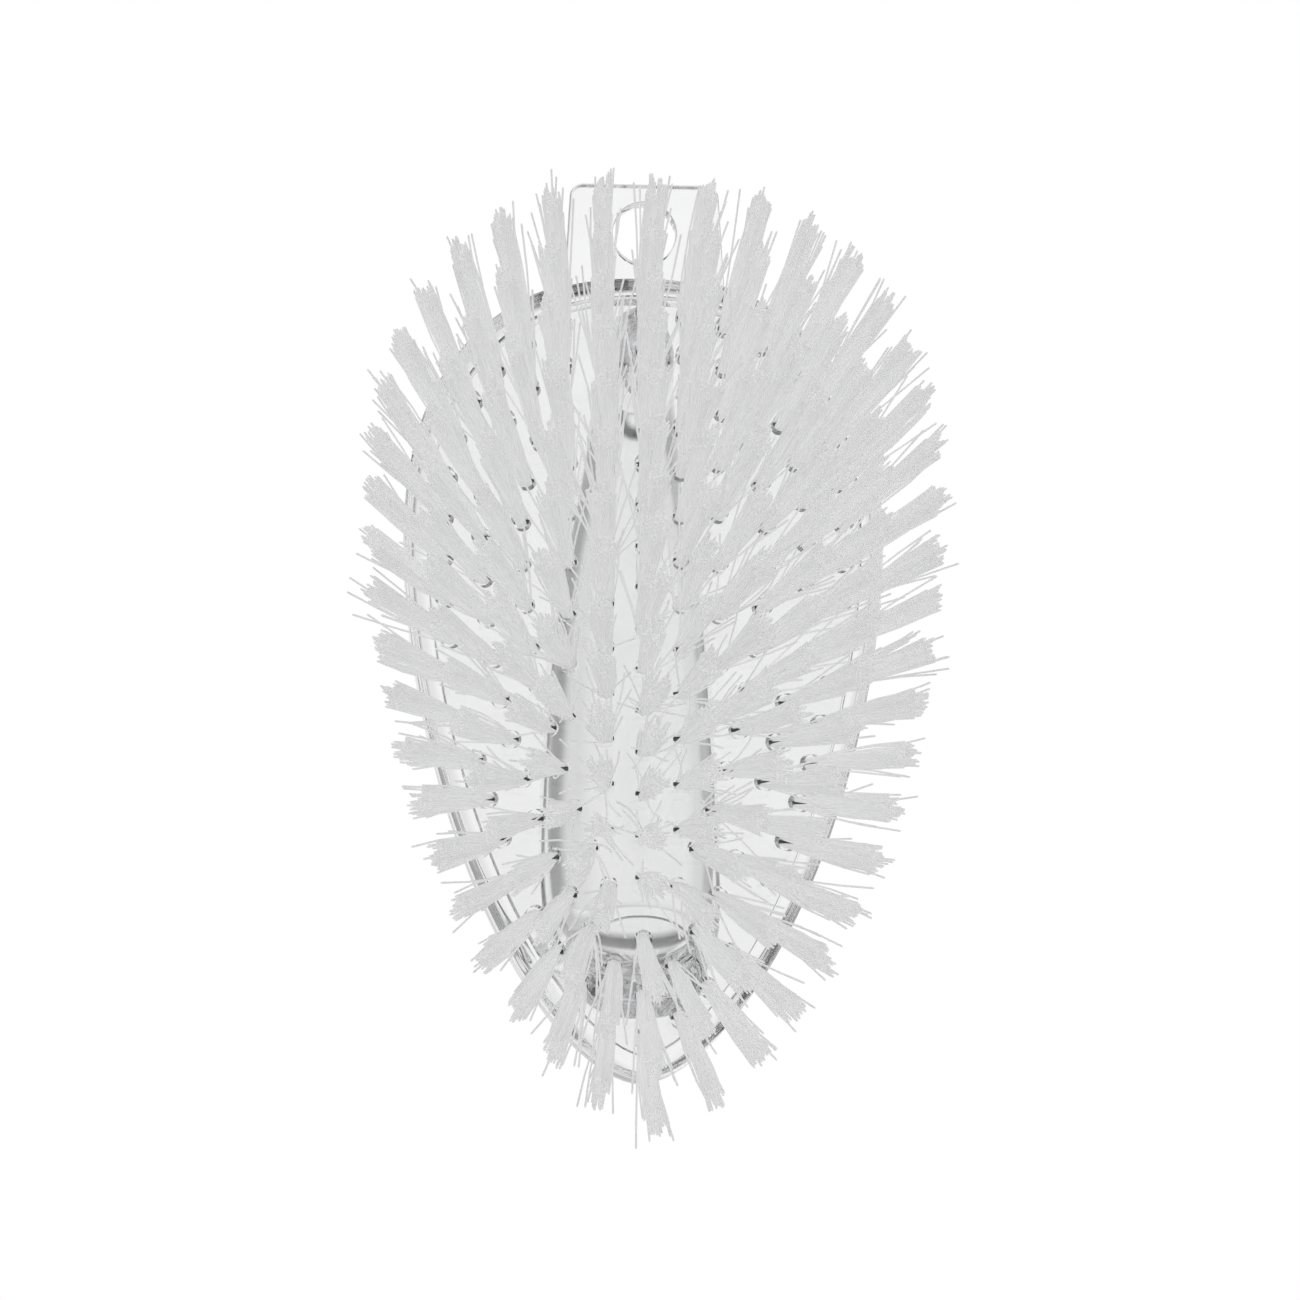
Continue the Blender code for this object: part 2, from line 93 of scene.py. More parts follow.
# Outline of the back: two superellipses that meet at its widest line
HALF_WIDTH = 36.0 * MM
REAR_LENGTH = 41.4 * MM
FRONT_LENGTH = 80.6 * MM
WIDEST_LINE_FROM_MIDDLE = 20.0 * MM
REAR_FULLNESS = 2.3
FRONT_FULLNESS = 1.7
WIDEST_LINE_Y = FRONT_Y + FRONT_LENGTH
REAR_Y = WIDEST_LINE_Y + REAR_LENGTH
MIDDLE_Y = WIDEST_LINE_Y - WIDEST_LINE_FROM_MIDDLE
OUTLINE_POINTS = 240
WALK_POINTS = 2880
FRONT_END_HALVINGS = 50

# Edges of the pieces and the room between them
SHARP_ANGLE = math.radians(30)
FILAMENT_SHARP_ANGLE = math.radians(80)
EDGE_STEPS = 4
SEAT_GAP = 0.3 * MM
CUT_OVERRUN = 2.0 * MM

# Back and its tab
RIM_WIDTH = 3.3 * MM
RIM_STEP = 0.8 * MM
RIM_ROUND = 0.7 * MM
RIM_ROUND_STEPS = 5
SHOULDER_WIDTH = 7.0 * MM
SHOULDER_HEIGHT = 4.5 * MM
SHOULDER_FULLNESS = 2.2
SHOULDER_STEPS = 14
FLAT_MARGIN = 0.1 * MM
TAB_END_WIDTH = 22.7 * MM
TAB_ROOT_WIDTH = 24.8 * MM
TAB_THICKNESS = 3.5 * MM
TAB_CORNER_RADIUS = 2.0 * MM
TAB_CORNER_STEPS = 8
TAB_ROOT_DEPTH = 6.0 * MM
TAB_EDGE_ROUND = 0.5 * MM
TAB_HOLE_RADIUS = 4.8 * MM
TAB_HOLE_TO_END = 7.7 * MM
TAB_HOLE_SIDES = 64
HOLE_EDGE_ROUND = 0.25 * MM

# Bristle plate and the holes of its tufts
FACE_Z = RIM_Z + RIM_STEP
RECESS_Z = PLATE_TOP_Z + SEAT_GAP
PLATE_INSET = RIM_WIDTH + SEAT_GAP
PLATE_EDGE_ROUND = 0.25 * MM
HOLE_RADIUS = 1.4 * MM
HOLE_DEPTH = 1.4 * MM
HOLE_SIDES = 16
# How the face is cut into triangles: inside its outline only, points this close counting as one
INSIDE_ONLY = 1
SAME_POINT = 1e-9

# Layout of the tufts
OUTER_RING_INSET = 5.6 * MM
RING_PITCH = 5.9 * MM
RING_TUFT_PITCH = 6.3 * MM
INNER_RING_TUFT_PITCH = 6.4 * MM
RING_NAMES = ("outer_ring", "middle_ring", "inner_ring")
COLUMN_PITCH = 5.7 * MM
COLUMN_TUFT_PITCHES = (6.4 * MM, 6.8 * MM, 7.6 * MM)
COLUMN_ROOM = 5.3 * MM
SIDE_COLUMN_FRONT_ROOM = 3.35 * MM
SIDE_LEAN = 0.515
SIDE_LEAN_FALL = 0.2
REAR_LEAN = 0.45
RING_FRONT_LEAN = 0.60
COLUMN_FRONT_LEAN = 0.40

# Filaments of a tuft, which part into strands on their way to the tips
FILAMENTS_PER_TUFT = 76
FILAMENT_RADIUS = 0.155 * MM
FILAMENT_SIDES = 5
FILAMENT_STEPS = 3
BOW = 0.5 * MM
STRANDS_PER_TUFT = 9
STRAND_SHARE = 0.82
STRAND_WIDTH = 0.2
STRAND_NUMBER_STEP = 40.0
STRAND_TRIM_SHARE = 0.6
STRAND_TONE_SHARE = 0.65
BUNDLE_ROOT_WIDTH = 1.1 * MM
BUNDLE_ROOT_GAP = 0.34 * MM
BUNDLE_ROOT_DEPTH = 0.38 * MM
TIP_SPREAD_ALONG = 2.5 * MM
RAGGED_HEIGHT = 3.2 * MM
STRAY_SHARE = 0.13
GOLDEN_ANGLE = math.pi * (3 - math.sqrt(5))
TUFT_SPIN = 1.1

# Filaments of the outer ring, the middle ring, the inner ring and the columns
TIP_SPREADS_ACROSS = (1.7 * MM, 1.7 * MM, 1.8 * MM, 2.2 * MM)
TIP_JITTERS = (0.2 * MM, 0.2 * MM, 0.3 * MM, 0.6 * MM)
STRAY_REACHES = (2.4 * MM, 3.2 * MM, 4.2 * MM, 5.0 * MM)

# Random seeds; trim and tone have one for the filament's own number and one for its strand's
STRAY_SEED = 3
JITTER_SEEDS = (4, 5)
BOW_SEEDS = (7, 8)
TRIM_SEEDS = (6, 10)
TONE_SEEDS = (9, 11)

# Wire anchors, one at the bottom of each hole
ANCHOR_WIDTH = 2.4 * MM
ANCHOR_THICKNESS = 0.5 * MM
ANCHOR_HEIGHT = 0.9 * MM

# Bridge handle
FRONT_FOOT_FROM_MIDDLE = -42.0 * MM
REAR_FOOT_FROM_MIDDLE = 50.5 * MM
ARCH_RISE = 29.6 * MM
ARCH_FULLNESS = 2.7
GRIP_WIDTH = 27.5 * MM
GRIP_MIDDLE_WIDTH = 26.5 * MM
GRIP_THICKNESS = 12.0 * MM
FRONT_FOOT_WIDTH = 20.5 * MM
FRONT_FOOT_LENGTH = 17.0 * MM
REAR_FOOT_WIDTH = 10.5 * MM
REAR_FOOT_LENGTH = 16.5 * MM
REAR_BEND_WIDTH = 15.5 * MM
SECTION_FULLNESS = 2.3
FOOT_ROUND = 2.2 * MM
FOOT_ROUND_STEPS = 6
SPIGOT_DEPTH = 3.0 * MM
SPIGOT_SHOULDER = 2.4 * MM
SECTION_POINTS = 72
ARCH_STATIONS = 96

# Finishes; a tone that varies has a place on its ramp and a colour for each stop
PLASTIC_TONES = ((0.35, (0.93, 0.931, 0.933, 1)), (0.7, (0.957, 0.958, 0.96, 1)))
PLASTIC_CLOUD_SCALE = 140.0
PLASTIC_WAVE_SCALE = 60.0
PLASTIC_WAVE_HEIGHT = 0.4 * MM
PLASTIC_WAVE_STRENGTH = 0.12
PLASTIC_ROUGHNESS = 0.015
PLASTIC_ROUGHNESS_RISE = 0.03
PLASTIC_IOR = 1.47
PLASTIC_SHADOW_TONE = (0.95, 0.95, 0.95, 1.0)
# Filament tones from tip (0) to root (1): the paler root end is painted light against the shade at the roots;
# the own share is each filament's random tone
FILAMENT_TONES_AND_ROOT_LIGHT = ((0.0, (0.79, 0.79, 0.793, 1)), (1.0, (0.93, 0.93, 0.933, 1)))
FILAMENT_OWN_TONE_SHARE = 0.4
FILAMENT_ROUGHNESS = 0.48
FILAMENT_ROUGHNESS_RISE = 0.12
FILAMENT_IOR = 1.45
FILAMENT_GLOSS = 0.35
FILAMENT_TRANSLUCENCY = 0.4
# Near-black wire tones: partly the anchors' own dark metal, partly painted shade standing in for the shade
# inside the tuft holes
WIRE_AND_HOLE_SHADE_TONES = ((0.3, (0.05, 0.05, 0.052, 1)), (0.7, (0.16, 0.16, 0.165, 1)))
WIRE_SCRATCH_SCALES = (400.0, 6000.0, 6000.0)
WIRE_ROUGHNESS = 0.3
WIRE_ROUGHNESS_RISE = 0.2
FLOOR_TONE = (0.9, 0.9, 0.9, 1.0)
FLOOR_HALF_SIZE = 2.5

# Grey cards that only the plastic shows: at the sides, a start, an end and the light left past it;
# from the front end (0) to the rear end (1), a place and the light left there
SIDE_CARDS = ((0.16, 0.3, 0.85), (0.34, 0.52, 0.42))
END_CARDS = ((0.0, 0.2), (0.25, 0.2), (0.42, 1.0), (0.745, 1.0), (0.77, 0.1), (0.80, 0.16), (0.825, 1.0),
             (0.87, 1.0), (0.9, 0.5), (1.0, 0.8))
LIGHT_RISE_START = -0.2
LIGHT_RISE_END = 0.6
LIGHT_BELOW = 0.62
LIGHT_ABOVE = 0.97

# Lamps: name, place and power
LAMPS = (("high_left", (-0.7, -0.4, 0.9), 0.6), ("high_right", (0.7, -0.3, 0.8), 0.4),
         ("low_left", (0.6, 0.4, -0.9), 0.5), ("low_right", (-0.6, -0.3, -0.9), 0.3))
LAMP_SIZE = 0.9
MAX_BOUNCES = 20
TRANSMISSION_BOUNCES = 16
GLOSSY_BOUNCES = 12

# Camera: where the photograph was taken from
PICTURE_SIZE = 1300
PICTURE_SCALE = 6720.0
AIM_PIXEL = (644, 673)
CAMERA_DISTANCE = 650 * MM
CAMERA_TILT_ACROSS = 0.065
CAMERA_TILT_ALONG = 0.20
CAMERA_NEAR = 10 * MM
SENSOR_WIDTH = 36.0


class Value:
    """A socket that can be used in a sum or product; each operator adds its Math node."""

    def __init__(self, nodes, socket):
        self.nodes = nodes
        self.socket = socket

    def math(self, operation, first, second):
        return self.nodes.add("ShaderNodeMath", {"operation": operation}, {0: first, 1: second})

    def __add__(self, other):
        return self.math("ADD", self, other)

    def __radd__(self, other):
        return self.math("ADD", other, self)

    def __sub__(self, other):
        return self.math("SUBTRACT", self, other)

    def __rsub__(self, other):
        return self.math("SUBTRACT", other, self)

    def __mul__(self, other):
        return self.math("MULTIPLY", self, other)

    def __rmul__(self, other):
        return self.math("MULTIPLY", other, self)

    def __truediv__(self, other):
        return self.math("DIVIDE", self, other)

    def __pow__(self, other):
        return self.math("POWER", self, other)

    def __lt__(self, other):
        return self.math("LESS_THAN", self, other)

    def at_least(self, other):
        return self.math("MAXIMUM", self, other)


class Nodes:
    """Adds nodes to a tree."""

    def __init__(self, tree):
        self.tree = tree

    def add(self, kind, settings=None, inputs=None, output=0):
        """Adds a node: its settings first, then the values or links of its sockets. Gives one output."""
        node = self.tree.nodes.new(kind)
        for name, value in (settings or {}).items():
            if name == "stops":
                self.set_stops(node.color_ramp, value)
            else:
                setattr(node, name, value)
        for key, value in (inputs or {}).items():
            if isinstance(value, Value):
                self.tree.links.new(value.socket, node.inputs[key])
            else:
                node.inputs[key].default_value = value
        return Value(self, node.outputs[output])

    def set_stops(self, ramp, stops):
        while len(ramp.elements) < len(stops):
            ramp.elements.new(1.0)
        for element, (place, colour) in zip(ramp.elements, stops):
            element.position = place
            element.color = colour

    def vector(self, operation, first, second):
        return self.add("ShaderNodeVectorMath", {"operation": operation}, {0: first, 1: second})

    def scaled(self, vector, factor):
        return self.add("ShaderNodeVectorMath", {"operation": "SCALE"}, {0: vector, "Scale": factor})

    def combine(self, x, y, z):
        return self.add("ShaderNodeCombineXYZ", {}, {"X": x, "Y": y, "Z": z})

    def split(self, vector):
        separate = self.add("ShaderNodeSeparateXYZ", {}, {0: vector}).socket.node
        return [Value(self, output) for output in separate.outputs]


def power(base, exponent):
    return abs(base) ** exponent


def outline_point(turn):
    """Point and outward normal of the outline on its +X side, from the front end (0) to the rear end (pi)."""
    across, along = math.sin(turn), -math.cos(turn)
    if along > 0:
        fullness, length = REAR_FULLNESS, REAR_LENGTH
    else:
        fullness, length = FRONT_FULLNESS, FRONT_LENGTH
    x = HALF_WIDTH * power(across, 2 / fullness)
    y = math.copysign(length * power(along, 2 / fullness), along)
    normal_x = power(x / HALF_WIDTH, fullness - 1) / HALF_WIDTH
    normal_y = math.copysign(power(y / length, fullness - 1) / length, along)
    return Vector((x, WIDEST_LINE_Y + y)), Vector((normal_x, normal_y)).normalized()


def inset_point(inset, turn, front_end_y):
    """Point at a distance inside the outline, at a counterclockwise turn; it never passes the middle line."""
    turn %= 2 * math.pi
    mirrored = turn > math.pi
    point, normal = outline_point(2 * math.pi - turn if mirrored else turn)
    inner = point - normal * inset
    if inner.x <= 0:
        inner = Vector((0, front_end_y if point.y < WIDEST_LINE_Y else inner.y))
    return Vector((-inner.x, inner.y)) if mirrored else inner


def front_end_of(inset):
    """Y of the front end of an inset outline, where its two sides meet on the middle line."""
    low, high = 0.0, math.pi / 2
    for _ in range(FRONT_END_HALVINGS):
        middle = (low + high) / 2
        point, normal = outline_point(middle)
        if point.x - normal.x * inset < 0:
            low = middle
        else:
            high = middle
    point, normal = outline_point(high)
    return point.y - normal.y * inset


def inset_walk(inset):
    """Fine points along an inset outline, from its front end counterclockwise, and the way walked to each."""
    front_end_y = front_end_of(inset)
    turns = [2 * math.pi * step / WALK_POINTS for step in range(WALK_POINTS)]
    points = [inset_point(inset, turn, front_end_y) for turn in turns]
    points.append(points[0])
    lengths = [0.0]
    for before, after in zip(points, points[1:]):
        lengths.append(lengths[-1] + (after - before).length)
    return points, lengths


def points_at(walk, places):
    """The points at rising places along a walk."""
    points, lengths = walk
    found, low = [], 0
    for place in places:
        while lengths[low + 1] < place:
            low += 1
        run = lengths[low + 1] - lengths[low]
        part = (place - lengths[low]) / run if run else 0.0
        found.append(points[low].lerp(points[low + 1], part))
    return found


def inset_loop(inset, count):
    """Equally spaced points along an inset outline, from its front end counterclockwise."""
    walk = inset_walk(inset)
    return points_at(walk, [walk[1][-1] * step / count for step in range(count)])


def neighbour_pairs(points):
    """Index pairs of neighbouring points round a loop."""
    return [(step, (step + 1) % len(points)) for step in range(len(points))]


def loft(rings):
    """Vertices and faces of a body through rings of equally many points, closed by a face at each end."""
    count = len(rings[0])
    vertices = [tuple(point) for ring in rings for point in ring]
    faces = [tuple(reversed(range(count)))]
    for low in range(0, count * (len(rings) - 1), count):
        high = low + count
        faces += [(low + a, low + b, high + b, high + a) for a, b in neighbour_pairs(rings[0])]
    faces.append(tuple(range(len(vertices) - count, len(vertices))))
    return vertices, faces


def lifted(points, z):
    return [(point[0], point[1], z) for point in points]


def circle(centre_x, centre_y, radius, count):
    points = []
    for step in range(count):
        turn = 2 * math.pi * step / count
        points.append(Vector((centre_x + radius * math.cos(turn), centre_y + radius * math.sin(turn))))
    return points


def quarter_arc(width, height, steps, fullness=2.0):
    """Pairs (inwards, upwards) along a quarter superellipse that starts upright and ends level."""
    arc = []
    for step in range(steps + 1):
        turn = math.pi / 2 * step / steps
        inwards = width * (1 - power(math.cos(turn), 2 / fullness))
        arc.append((inwards, height * power(math.sin(turn), 2 / fullness)))
    return arc


def make_object(name, vertices, faces):
    """An object of a closed mesh with its faces turned outwards and shaded smooth between sharp edges."""
    mesh = bpy.data.meshes.new(name)
    mesh.from_pydata(vertices, [], faces)
    shape = bmesh.new()
    shape.from_mesh(mesh)
    bmesh.ops.recalc_face_normals(shape, faces=shape.faces)
    shape.to_mesh(mesh)
    shape.free()
    mesh.shade_smooth()
    mesh.set_sharp_from_angle(angle=SHARP_ANGLE)
    piece = bpy.data.objects.new(name, mesh)
    bpy.context.collection.objects.link(piece)
    return piece


def settle(piece):
    """Works the piece's modifiers into a plain mesh."""
    depsgraph = bpy.context.evaluated_depsgraph_get()
    mesh = bpy.data.meshes.new_from_object(piece.evaluated_get(depsgraph), depsgraph=depsgraph)
    mesh.name = piece.name
    piece.modifiers.clear()
    piece.data = mesh
    mesh.shade_smooth()
    mesh.set_sharp_from_angle(angle=SHARP_ANGLE)


def combine(piece, parts):
    """Works other shapes into a piece: each is united with it or cut out of it."""
    for other, operation in parts:
        change = piece.modifiers.new(other.name, "BOOLEAN")
        change.operation = operation
        change.object = other
        change.solver = "EXACT"
    settle(piece)
    for other, _ in parts:
        bpy.data.objects.remove(other)


def finish_piece(piece, material, replaced):
    """Gives a piece its material and its place among the bodies and solids."""
    piece.data.materials.clear()
    piece.data.materials.append(material)
    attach(piece, BODY)
    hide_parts(*replaced)


def new_material(name):
    material = bpy.data.materials.new(name)
    material.use_nodes = True
    tree = material.node_tree
    tree.nodes.clear()
    return material, Nodes(tree)


def shader_output(nodes, shader):
    output = nodes.tree.nodes.new("ShaderNodeOutputMaterial")
    nodes.tree.links.new(shader.socket, output.inputs["Surface"])


def clear_plastic(name):
    """Colourless moulded plastic: faintly milky, with the shallow waves of a moulded face."""
    material, nodes = new_material(name)
    place = nodes.add("ShaderNodeTexCoord", output="Object")
    waves = nodes.add("ShaderNodeTexNoise", {}, {
        "Vector": place, "Scale": PLASTIC_WAVE_SCALE, "Detail": 2.0})
    cloud = nodes.add("ShaderNodeTexNoise", {}, {
        "Vector": place, "Scale": PLASTIC_CLOUD_SCALE, "Detail": 4.0})
    milk = nodes.add("ShaderNodeValToRGB", {"stops": PLASTIC_TONES}, {0: cloud})
    bump = nodes.add("ShaderNodeBump", {}, {
        "Strength": PLASTIC_WAVE_STRENGTH, "Distance": PLASTIC_WAVE_HEIGHT, "Height": waves})
    shader = nodes.add("ShaderNodeBsdfPrincipled", {}, {
        "Base Color": milk, "Roughness": PLASTIC_ROUGHNESS + cloud * PLASTIC_ROUGHNESS_RISE,
        "IOR": PLASTIC_IOR, "Transmission Weight": 1.0, "Normal": bump})
    shadow = nodes.add("ShaderNodeLightPath", output="Is Shadow Ray")
    bounce = nodes.add("ShaderNodeLightPath", output="Is Diffuse Ray")
    through = nodes.add("ShaderNodeBsdfTransparent", {}, {"Color": PLASTIC_SHADOW_TONE})
    lit = shadow.at_least(bounce)
    shader_output(nodes, nodes.add("ShaderNodeMixShader", {}, {0: lit, 1: shader, 2: through}))
    return material


def filament_material():
    """Pale translucent filament: its tone changes from one to the next, and its root is painted paler,
    painted light that lifts the shade around the roots.
    """
    material, nodes = new_material("pale_filament")
    along = nodes.add("ShaderNodeAttribute", {"attribute_name": "along"}, output="Fac")
    tone = nodes.add("ShaderNodeAttribute", {"attribute_name": "tone"}, output="Fac")
    # Paler towards the root: painted light that brightens the roots against their shade; the own share is
    # each filament's random tone
    tone_and_root_light = tone * FILAMENT_OWN_TONE_SHARE + (1.0 - along) * (1.0 - FILAMENT_OWN_TONE_SHARE)
    colour = nodes.add("ShaderNodeValToRGB", {"stops": FILAMENT_TONES_AND_ROOT_LIGHT}, {0: tone_and_root_light})
    shader = nodes.add("ShaderNodeBsdfPrincipled", {}, {
        "Base Color": colour, "Roughness": FILAMENT_ROUGHNESS + tone * FILAMENT_ROUGHNESS_RISE,
        "IOR": FILAMENT_IOR, "Specular IOR Level": FILAMENT_GLOSS})
    glow = nodes.add("ShaderNodeBsdfTranslucent", {}, {"Color": colour})
    shader_output(nodes, nodes.add("ShaderNodeMixShader", {}, {0: FILAMENT_TRANSLUCENCY, 1: shader, 2: glow}))
    return material


def anchor_material():
    """Drawn wire: dull metal with scratches along its length; its near-black tone is partly the wire's own
    and partly painted shade for the holes it sits in.
    """
    material, nodes = new_material("anchor_wire_and_hole_shade")
    place = nodes.add("ShaderNodeTexCoord", output="Object")
    stretched = nodes.add("ShaderNodeMapping", {}, {"Vector": place, "Scale": WIRE_SCRATCH_SCALES})
    scratches = nodes.add("ShaderNodeTexNoise", {}, {"Vector": stretched, "Scale": 1.0, "Detail": 3.0})
    colour = nodes.add("ShaderNodeValToRGB", {"stops": WIRE_AND_HOLE_SHADE_TONES}, {0: scratches})
    shader = nodes.add("ShaderNodeBsdfPrincipled", {}, {
        "Base Color": colour, "Metallic": 1.0, "Roughness": WIRE_ROUGHNESS + scratches * WIRE_ROUGHNESS_RISE})
    shader_output(nodes, shader)
    return material


def tab_outline(inset):
    """Outline of the tab, counterclockwise from its root inside the back, drawn in by an inset."""
    root_y = REAR_Y - TAB_ROOT_DEPTH
    radius = TAB_CORNER_RADIUS - inset
    centre_y = TAB_END_Y - TAB_CORNER_RADIUS
    centre_x = TAB_END_WIDTH / 2 - TAB_CORNER_RADIUS
    points = [Vector((TAB_ROOT_WIDTH / 2 - inset, root_y))]
    for side in (1, -1):
        for step in range(TAB_CORNER_STEPS + 1):
            turn = math.pi / 2 * (step if side > 0 else TAB_CORNER_STEPS - step) / TAB_CORNER_STEPS
            x = side * (centre_x + radius * math.cos(turn))
            points.append(Vector((x, centre_y + radius * math.sin(turn))))
    points.append(Vector((-TAB_ROOT_WIDTH / 2 + inset, root_y)))
    return points


def rounded_prism(outline_at, low_z, high_z, edge_round):
    """A plate with rounded edges over an outline that can be drawn in."""
    arc = quarter_arc(edge_round, edge_round, EDGE_STEPS)
    profile = [(inwards, low_z + edge_round - up) for inwards, up in reversed(arc)]
    profile += [(inwards, high_z - edge_round + up) for inwards, up in arc]
    return loft([lifted(outline_at(inset), z) for inset, z in profile])


def hole_rings(centre_y, radius, low_z, high_z, edge_round):
    """A cutter for a round hole whose edges at both faces are rounded off."""
    mouth = radius + edge_round
    profile = [(mouth, low_z - CUT_OVERRUN), (mouth, low_z)]
    turns = [math.pi / 2 * step / EDGE_STEPS for step in range(1, EDGE_STEPS + 1)]
    for turn in turns:
        reach = radius + edge_round * (1 - math.sin(turn))
        profile.append((reach, low_z + edge_round * (1 - math.cos(turn))))
    for turn in reversed(turns):
        reach = radius + edge_round * (1 - math.sin(turn))
        profile.append((reach, high_z - edge_round * (1 - math.cos(turn))))
    profile += [(mouth, high_z), (mouth, high_z + CUT_OVERRUN)]
    return [lifted(circle(0, centre_y, reach, TAB_HOLE_SIDES), z) for reach, z in profile]


def feet():
    """Place and half sizes of the handle's two feet."""
    front = (MIDDLE_Y + FRONT_FOOT_FROM_MIDDLE, FRONT_FOOT_WIDTH / 2, FRONT_FOOT_LENGTH / 2)
    rear = (MIDDLE_Y + REAR_FOOT_FROM_MIDDLE, REAR_FOOT_WIDTH / 2, REAR_FOOT_LENGTH / 2)
    return front, rear


def section_shares():
    """Unit outline of the handle's section, as shares of its half width and half thickness."""
    shares = []
    for step in range(SECTION_POINTS):
        turn = 2 * math.pi * step / SECTION_POINTS
        across = math.copysign(power(math.cos(turn), 2 / SECTION_FULLNESS), math.cos(turn))
        through = math.copysign(power(math.sin(turn), 2 / SECTION_FULLNESS), math.sin(turn))
        shares.append((across, through))
    return shares


def level_section(centre_y, half_width, half_length):
    shares = section_shares()
    return [Vector((half_width * across, centre_y + half_length * through)) for across, through in shares]


def make_back(material):
    """The clear back with its rim, recess, hanging tab and sockets."""
    rim = quarter_arc(RIM_ROUND, RIM_ROUND, RIM_ROUND_STEPS)
    profile = [(RIM_ROUND + FLAT_MARGIN, RIM_Z)]
    profile += [(inwards, RIM_Z + RIM_ROUND - up) for inwards, up in reversed(rim)]
    shoulder = quarter_arc(SHOULDER_WIDTH, SHOULDER_HEIGHT, SHOULDER_STEPS, SHOULDER_FULLNESS)
    profile += [(inwards, TOP_Z - SHOULDER_HEIGHT + up) for inwards, up in shoulder]
    profile.append((SHOULDER_WIDTH + FLAT_MARGIN, TOP_Z))
    rings = [lifted(inset_loop(inset, OUTLINE_POINTS), z) for inset, z in profile]
    back = make_object("clear_back", *loft(rings))

    tab_top_z = RIM_Z + TAB_THICKNESS
    tab = make_object("tab", *rounded_prism(tab_outline, RIM_Z, tab_top_z, TAB_EDGE_ROUND))
    hole_y = TAB_END_Y - TAB_HOLE_TO_END
    rings = hole_rings(hole_y, TAB_HOLE_RADIUS, RIM_Z, tab_top_z, HOLE_EDGE_ROUND)
    hole = make_object("tab_hole", *loft(rings))
    recess_line = inset_loop(RIM_WIDTH, OUTLINE_POINTS)
    rings = [lifted(recess_line, RIM_Z - CUT_OVERRUN), lifted(recess_line, RECESS_Z)]
    recess = make_object("recess", *loft(rings))
    parts = [(tab, "UNION"), (hole, "DIFFERENCE"), (recess, "DIFFERENCE")]
    narrowing = SPIGOT_SHOULDER - SEAT_GAP
    for centre_y, half_width, half_length in feet():
        section = level_section(centre_y, half_width - narrowing, half_length - narrowing)
        floor_z = TOP_Z - SPIGOT_DEPTH - SEAT_GAP
        rings = [lifted(section, floor_z), lifted(section, TOP_Z + CUT_OVERRUN)]
        parts.append((make_object("socket", *loft(rings)), "DIFFERENCE"))
    combine(back, parts)
    finish_piece(back, material, ["back_shell"])


def blended(values, share):
    """A smooth value through equally spaced ones, for a share from 0 to 1."""
    place = share * (len(values) - 1)
    index = min(int(place), len(values) - 2)
    part = place - index
    before, start = values[max(index - 1, 0)], values[index]
    end, after = values[index + 1], values[min(index + 2, len(values) - 1)]
    rise = (end - start) * part * part * (3 - 2 * part)
    leaving = (end - before) / 2 * part * (1 - part) ** 2
    arriving = (after - start) / 2 * part * part * (1 - part)
    return start + rise + leaving - arriving


def arch_sections():
    """Rings along the arch, from the front foot to the rear foot."""
    widths = [FRONT_FOOT_WIDTH, GRIP_WIDTH, GRIP_MIDDLE_WIDTH, REAR_BEND_WIDTH, REAR_FOOT_WIDTH]
    depths = [FRONT_FOOT_LENGTH, GRIP_THICKNESS, GRIP_THICKNESS, GRIP_THICKNESS, REAR_FOOT_LENGTH]
    middle_y = MIDDLE_Y + (FRONT_FOOT_FROM_MIDDLE + REAR_FOOT_FROM_MIDDLE) / 2
    half_span = (REAR_FOOT_FROM_MIDDLE - FRONT_FOOT_FROM_MIDDLE) / 2
    base_z = TOP_Z + SEAT_GAP
    shares = section_shares()
    rings = []
    for station in range(ARCH_STATIONS + 1):
        share = station / ARCH_STATIONS
        turn = math.pi * share
        along, up = -math.cos(turn), math.sin(turn)
        y = middle_y + math.copysign(half_span * power(along, 2 / ARCH_FULLNESS), along)
        z = base_z + ARCH_RISE * power(up, 2 / ARCH_FULLNESS)
        slope_y = power(up, 2 - 2 / ARCH_FULLNESS) / ARCH_RISE
        slope_z = -math.copysign(power(along, 2 - 2 / ARCH_FULLNESS) / half_span, along)
        tangent = Vector((0, slope_y, slope_z)).normalized()
        inwards = Vector((0, tangent.z, -tangent.y))
        half_width, half_depth = blended(widths, share) / 2, blended(depths, share) / 2
        centre = Vector((0, y, z))
        rings.append([centre + Vector((half_width * across, 0, 0)) + inwards * half_depth * through
                      for across, through in shares])
    return rings


def make_handle(material):
    """The bridge handle with the spigots of its feet."""
    ends = []
    base_z = TOP_Z + SEAT_GAP
    for centre_y, half_width, half_length in feet():
        section = level_section(centre_y, half_width - SPIGOT_SHOULDER, half_length - SPIGOT_SHOULDER)
        rings = [lifted(section, z) for z in (TOP_Z - SPIGOT_DEPTH, base_z)]
        for inwards, up in reversed(quarter_arc(FOOT_ROUND, FOOT_ROUND, FOOT_ROUND_STEPS)):
            section = level_section(centre_y, half_width - inwards, half_length - inwards)
            rings.append(lifted(section, base_z + FOOT_ROUND - up))
        ends.append(rings)
    front_end, rear_end = ends
    mirrored = [[ring[-step % SECTION_POINTS] for step in range(SECTION_POINTS)] for ring in rear_end]
    vertices, faces = loft(front_end + arch_sections()[1:-1] + mirrored[::-1])
    handle = make_object("bridge_handle", vertices, faces)
    finish_piece(handle, material, ["handle"])


